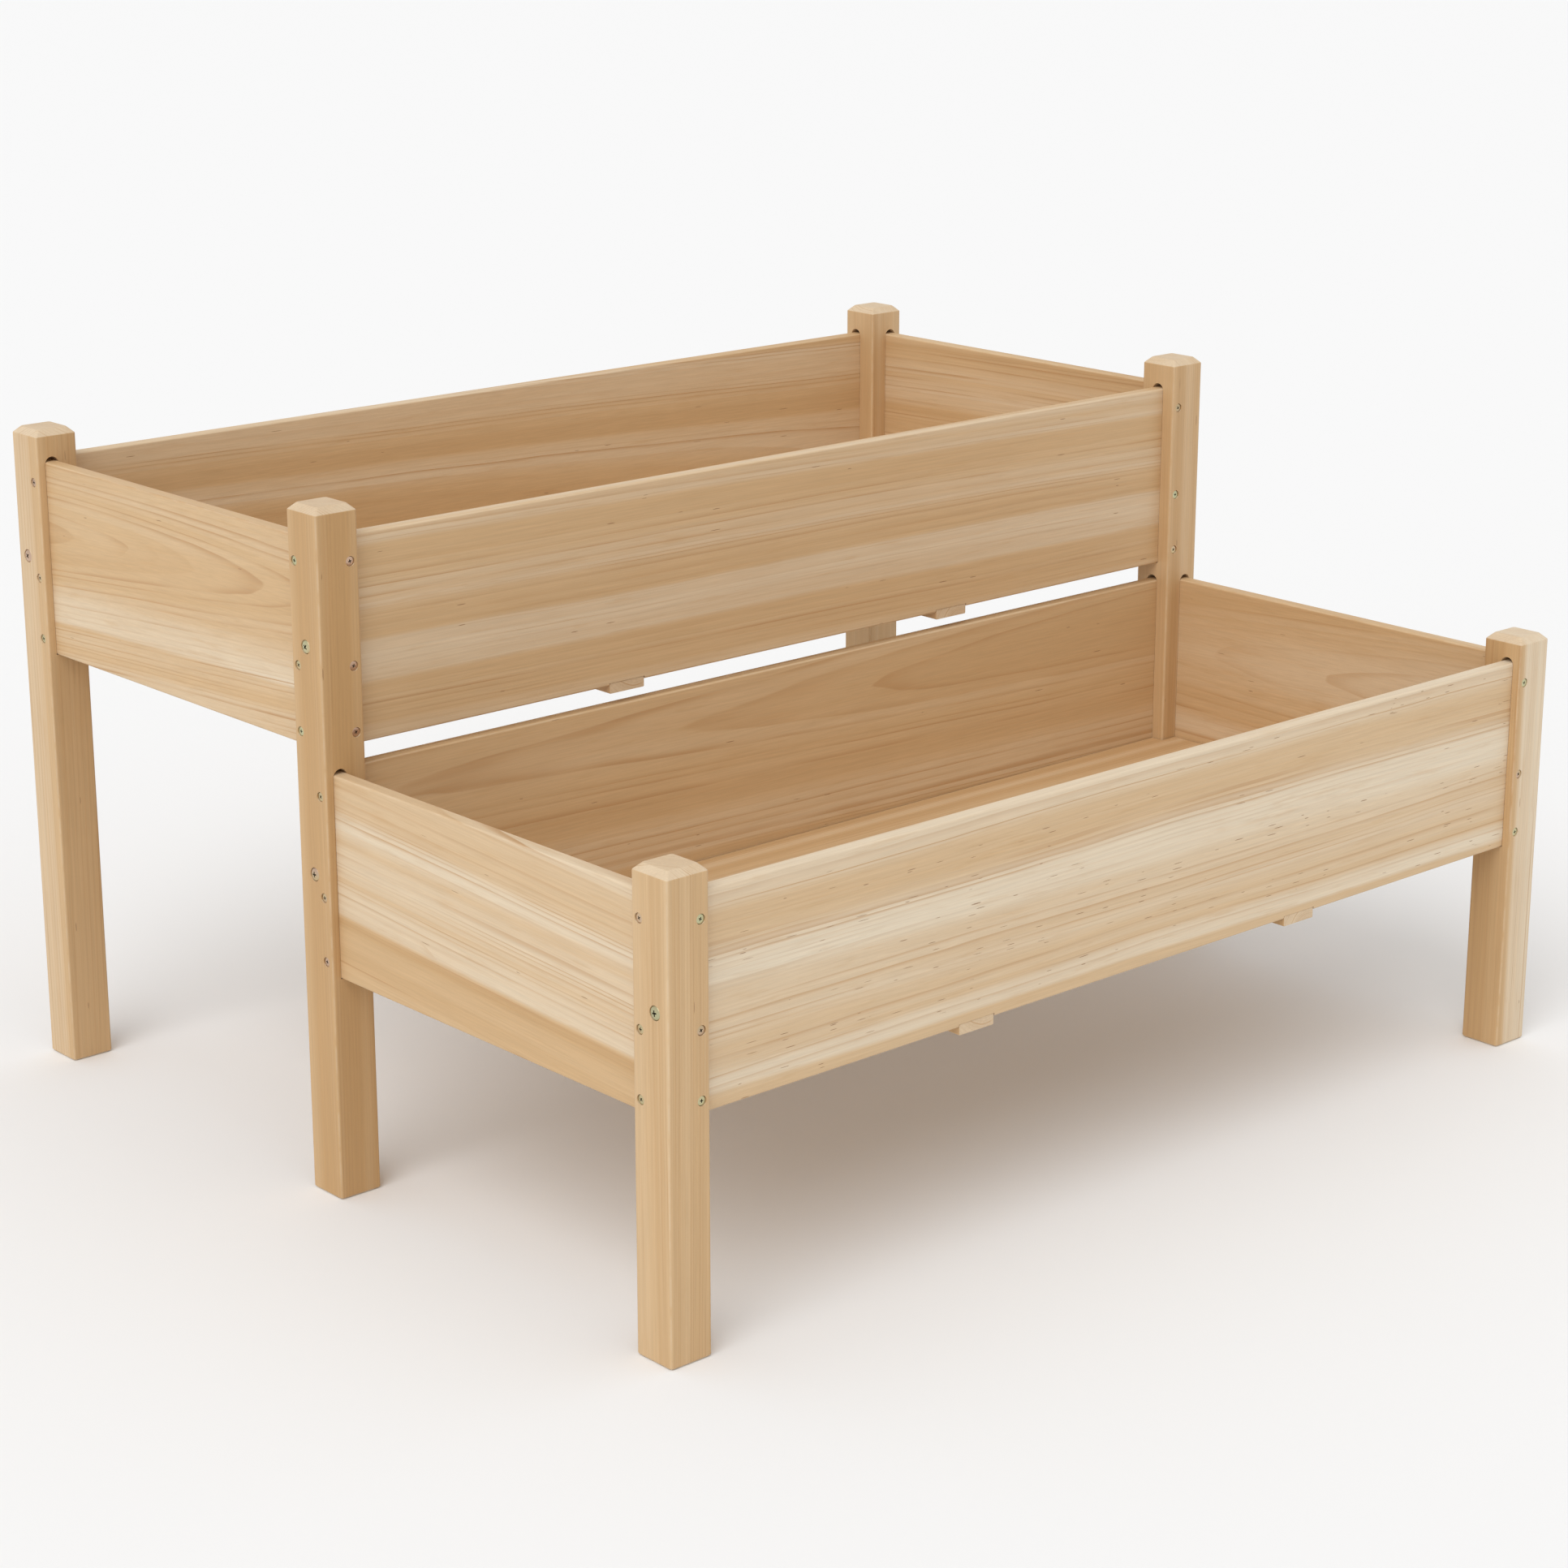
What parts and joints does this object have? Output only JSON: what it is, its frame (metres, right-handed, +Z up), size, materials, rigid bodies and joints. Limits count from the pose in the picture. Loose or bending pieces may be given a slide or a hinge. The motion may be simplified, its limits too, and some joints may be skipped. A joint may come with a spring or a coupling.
{
  "type": "raised planter on legs",
  "caption": "Stair-step wooden planter on square posts: a high bed behind a lower one, each a box of solid panels let into the posts, with a slatted bottom on battens.",
  "frame": {"origin": "floor level, middle of the footprint", "axes": "+X along the beds towards the right-hand end, +Y from the low bed at the front to the high bed at the back, +Z up"},
  "size_m": [1.2014, 1.0264, 0.676],
  "materials": {
    "fir_post": "bare planed fir, straight vertical grain, matt",
    "fir_panel": "bare planed fir, one wide board, grain along the panel, matt",
    "fir_slat": "bare sawn fir, matt",
    "zinc_screw": "yellow zinc plated, satin",
    "zinc_bolt": "pale yellow zinc plated, glossy"
  },
  "bodies": {
    "root": {"batten_lower_left": "fir_slat", "batten_lower_right": "fir_slat", "batten_upper_left": "fir_slat", "batten_upper_right": "fir_slat", "bolt_lower_back_left": "zinc_bolt", "bolt_lower_back_right": "zinc_bolt", "bolt_lower_front_left": "zinc_bolt", "bolt_lower_front_right": "zinc_bolt", "bolt_upper_back_left": "zinc_bolt", "bolt_upper_back_right": "zinc_bolt", "bolt_upper_front_left": "zinc_bolt", "bolt_upper_front_right": "zinc_bolt", "floor_board_lower_1": "fir_slat", "floor_board_lower_2": "fir_slat", "floor_board_lower_3": "fir_slat", "floor_board_upper_1": "fir_slat", "floor_board_upper_2": "fir_slat", "floor_board_upper_3": "fir_slat", "panel_lower_back": "fir_panel", "panel_lower_front": "fir_panel", "panel_lower_left": "fir_panel", "panel_lower_right": "fir_panel", "panel_upper_back": "fir_panel", "panel_upper_front": "fir_panel", "panel_upper_left": "fir_panel", "panel_upper_right": "fir_panel", "post_back_left": "fir_post", "post_back_right": "fir_post", "post_front_left": "fir_post", "post_front_right": "fir_post", "post_middle_left": "fir_post", "post_middle_right": "fir_post", "screw_lower_left_back_high": "zinc_screw", "screw_lower_left_back_low": "zinc_screw", "screw_lower_left_back_mid": "zinc_screw", "screw_lower_left_front_high": "zinc_screw", "screw_lower_left_front_low": "zinc_screw", "screw_lower_left_front_mid": "zinc_screw", "screw_lower_right_back_high": "zinc_screw", "screw_lower_right_back_low": "zinc_screw", "screw_lower_right_back_mid": "zinc_screw", "screw_lower_right_front_high": "zinc_screw", "screw_lower_right_front_low": "zinc_screw", "screw_lower_right_front_mid": "zinc_screw", "screw_upper_left_back_high": "zinc_screw", "screw_upper_left_back_low": "zinc_screw", "screw_upper_left_back_mid": "zinc_screw", "screw_upper_left_front_high": "zinc_screw", "screw_upper_left_front_low": "zinc_screw", "screw_upper_left_front_mid": "zinc_screw", "screw_upper_right_back_high": "zinc_screw", "screw_upper_right_back_low": "zinc_screw", "screw_upper_right_back_mid": "zinc_screw", "screw_upper_right_front_high": "zinc_screw", "screw_upper_right_front_low": "zinc_screw", "screw_upper_right_front_mid": "zinc_screw"}
  },
  "joints": []
}
